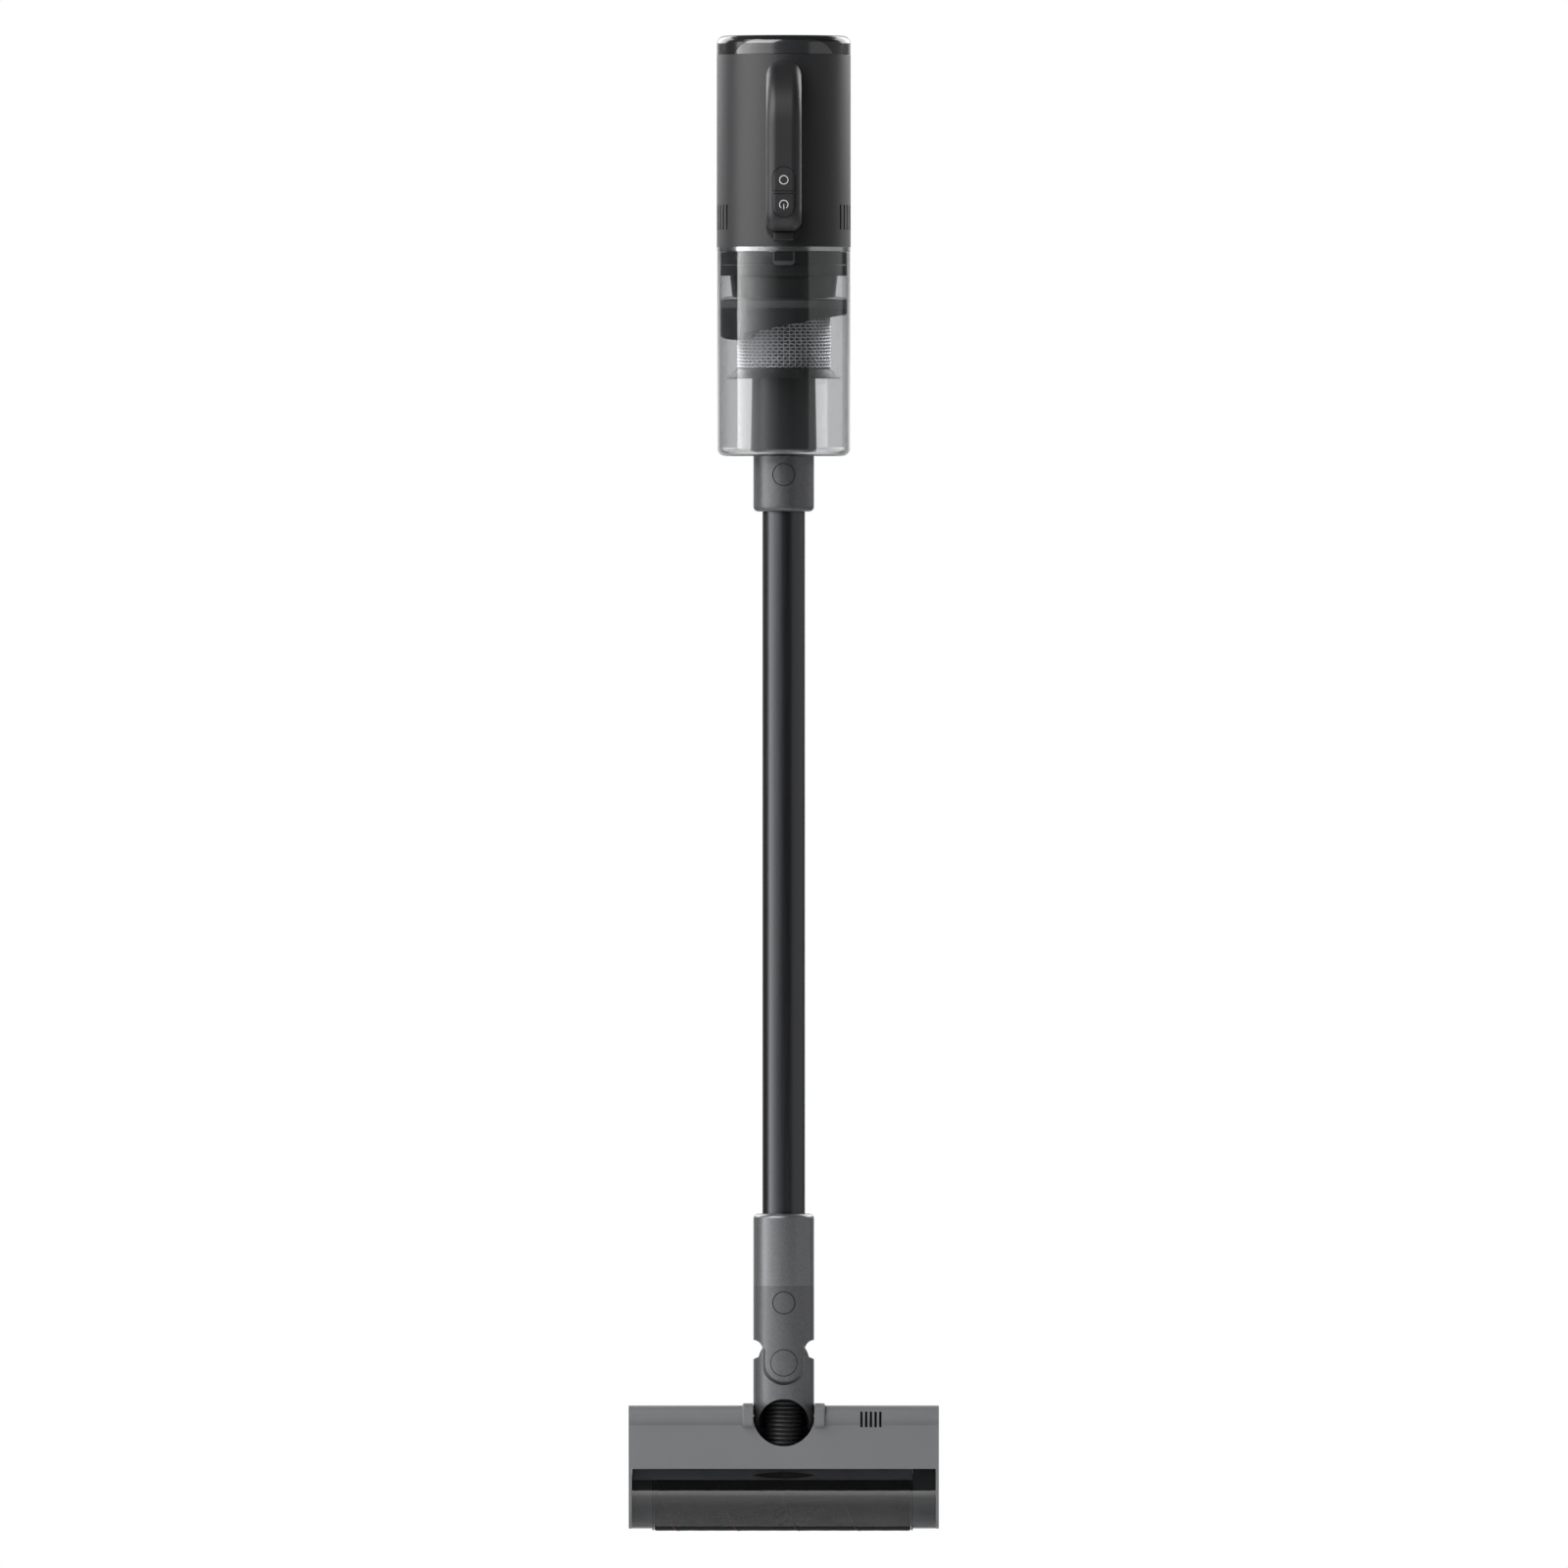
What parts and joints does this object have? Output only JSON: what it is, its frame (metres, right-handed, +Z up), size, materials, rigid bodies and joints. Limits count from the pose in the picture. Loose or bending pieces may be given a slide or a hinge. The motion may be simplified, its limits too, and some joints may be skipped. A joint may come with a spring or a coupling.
{
  "type": "upright vacuum cleaner",
  "caption": "Straight cordless upright vacuum cleaner: round motor housing with bow handle, clear dust cup, slim wand, jointed neck and a wide powered roller head with a window.",
  "frame": {"origin": "centre of the flat dock face on the back of the hand unit, where the cleaner hangs on its wall dock", "axes": "+Z up along the wand, +Y out of the back into the wall dock, -Y towards the user (handle, buttons, display), +X to the user's right"},
  "size_m": [0.25, 0.16, 1.2055],
  "materials": {
    "charcoal_abs": "satin moulded",
    "gloss_black_abs": "polished",
    "display_glass": "polished smoked lens",
    "circuit_board": "solder mask",
    "battery_cell": "shrink-wrapped cell",
    "carrier_abs": "moulded",
    "motor_alloy": "turned",
    "bearing_steel": "ground",
    "elastomer": "matte",
    "spring_steel": "drawn wire",
    "filter_media": "pleated paper",
    "clear_pc": "polished clear",
    "bright_trim": "bright",
    "cyclone_abs": "satin moulded",
    "screen_steel": "etched mesh",
    "lip_silicone": "matte translucent",
    "black_anodised": "gloss black anodised",
    "collar_grey": "satin metallic",
    "hose_tpe": "satin",
    "head_grey": "fine texture",
    "smoked_pc": "polished smoked",
    "brush_pile": "dense plush with a thin red helix",
    "roller_abs": "moulded",
    "belt_rubber": "matte",
    "wheel_tpu": "matte",
    "zinc_steel": "zinc plated"
  },
  "bodies": {
    "hand_unit": {"main_housing": "charcoal_abs", "top_cap": "gloss_black_abs", "display_lens": "display_glass", "display_board": "circuit_board", "handle_front_shell": "charcoal_abs", "handle_rear_shell": "charcoal_abs", "control_board": "circuit_board", "battery_cells": "battery_cell", "battery_carrier": "carrier_abs", "motor_case": "motor_alloy", "motor_bearings": "bearing_steel", "motor_isolator": "elastomer", "exhaust_filter": "filter_media", "charging_jack": "carrier_abs", "cup_latch_spring": "spring_steel", "deck_screws": "zinc_steel"},
    "fan_rotor": {"impeller": "motor_alloy"},
    "mode_key": {"mode_button": "charcoal_abs"},
    "power_key": {"power_button": "charcoal_abs"},
    "latch_key": {"cup_latch": "charcoal_abs"},
    "dust_cup": {"cup_shell": "clear_pc", "cup_rim": "bright_trim", "cup_catch": "clear_pc", "inlet_tube": "cyclone_abs", "mesh_screen": "screen_steel", "screen_frame": "cyclone_abs", "cyclone_body": "cyclone_abs", "lip_seal": "lip_silicone", "cyclone_cone": "cyclone_abs", "pre_filter": "filter_media", "inlet_collar": "charcoal_abs", "wand_button_spring": "spring_steel", "wand_seal": "elastomer"},
    "wand_key": {"wand_button": "gloss_black_abs"},
    "wand": {"wand_tube": "black_anodised", "wand_lower_collar": "collar_grey", "wand_wiring": "elastomer"},
    "neck_upper": {"neck_front_shell": "charcoal_abs", "neck_rear_shell": "charcoal_abs", "neck_spigot": "carrier_abs", "head_button_spring": "spring_steel", "swivel_pins": "charcoal_abs"},
    "head_key": {"head_button": "gloss_black_abs"},
    "neck_lower": {"neck_lower_shell": "charcoal_abs", "pitch_pins": "bearing_steel", "neck_hose": "hose_tpe"},
    "floor_head": {"head_top_cover": "head_grey", "roller_window": "smoked_pc", "head_base": "carrier_abs", "cover_screws": "zinc_steel", "squeegee_strip": "elastomer", "roller_end_cap": "head_grey", "drive_cover": "head_grey", "head_motor": "motor_alloy", "drive_belt": "belt_rubber"},
    "roller": {"roller_core": "roller_abs", "roller_brush": "brush_pile"},
    "drive_pulley": {"motor_pulley": "carrier_abs"},
    "left_wheel": {"rear_wheel_left": "wheel_tpu"},
    "right_wheel": {"rear_wheel_right": "wheel_tpu"}
  },
  "joints": [
    {"name": "cup_release", "type": "slide", "parent": "hand_unit", "child": "dust_cup", "axis": [0, 0, -1], "range_m": [0, 0.045]},
    {"name": "wand_release", "type": "slide", "parent": "dust_cup", "child": "wand", "axis": [0, 0, -1], "range_m": [0, 0.045]},
    {"name": "head_release", "type": "slide", "parent": "wand", "child": "neck_upper", "axis": [0, 0, -1], "range_m": [0, 0.035]},
    {"name": "neck_swivel", "type": "hinge", "parent": "neck_upper", "child": "neck_lower", "pos_m": [0, -0.056, -0.974], "axis": [0, 1, 0], "range_deg": [-22, 22], "deforming": ["neck_hose"]},
    {"name": "head_pitch", "type": "hinge", "parent": "neck_lower", "child": "floor_head", "pos_m": [0, -0.056, -1.0165], "axis": [-1, 0, 0], "range_deg": [0, 90], "deforming": ["neck_hose"]},
    {"name": "roller_spin", "type": "hinge", "parent": "floor_head", "child": "roller", "pos_m": [0, -0.045, -1.0865], "axis": [1, 0, 0], "continuous": true},
    {"name": "motor_spin", "type": "hinge", "parent": "floor_head", "child": "drive_pulley", "pos_m": [0.069, -0.054, -1.03275], "axis": [1, 0, 0], "continuous": true},
    {"name": "left_wheel_spin", "type": "hinge", "parent": "floor_head", "child": "left_wheel", "pos_m": [-0.062, -0.03, -1.0245], "axis": [1, 0, 0], "continuous": true},
    {"name": "right_wheel_spin", "type": "hinge", "parent": "floor_head", "child": "right_wheel", "pos_m": [0.062, -0.03, -1.0245], "axis": [1, 0, 0], "continuous": true},
    {"name": "fan_spin", "type": "hinge", "parent": "hand_unit", "child": "fan_rotor", "pos_m": [0, -0.056, -0.035], "axis": [0, 0, 1], "continuous": true},
    {"name": "mode_press", "type": "slide", "parent": "hand_unit", "child": "mode_key", "axis": [0, 1, 0], "range_m": [0, 0.0012], "stiffness_N_per_m": 1500, "springref_m": -0.001},
    {"name": "power_press", "type": "slide", "parent": "hand_unit", "child": "power_key", "axis": [0, 1, 0], "range_m": [0, 0.0012], "stiffness_N_per_m": 1500, "springref_m": -0.001},
    {"name": "latch_press", "type": "slide", "parent": "hand_unit", "child": "latch_key", "axis": [0, 1, 0], "range_m": [0, 0.002], "stiffness_N_per_m": 1500, "springref_m": -0.001, "deforming": ["cup_latch_spring"]},
    {"name": "wand_button_press", "type": "slide", "parent": "dust_cup", "child": "wand_key", "axis": [0, 1, 0], "range_m": [0, 0.0015], "stiffness_N_per_m": 2000, "springref_m": -0.001, "deforming": ["wand_button_spring"]},
    {"name": "head_button_press", "type": "slide", "parent": "neck_upper", "child": "head_key", "axis": [0, 1, 0], "range_m": [0, 0.0015], "stiffness_N_per_m": 2000, "springref_m": -0.001, "deforming": ["head_button_spring"]}
  ],
  "couplings": [
    {"joint": "motor_spin", "follows": "roller_spin", "ratio": 2.5}
  ]
}
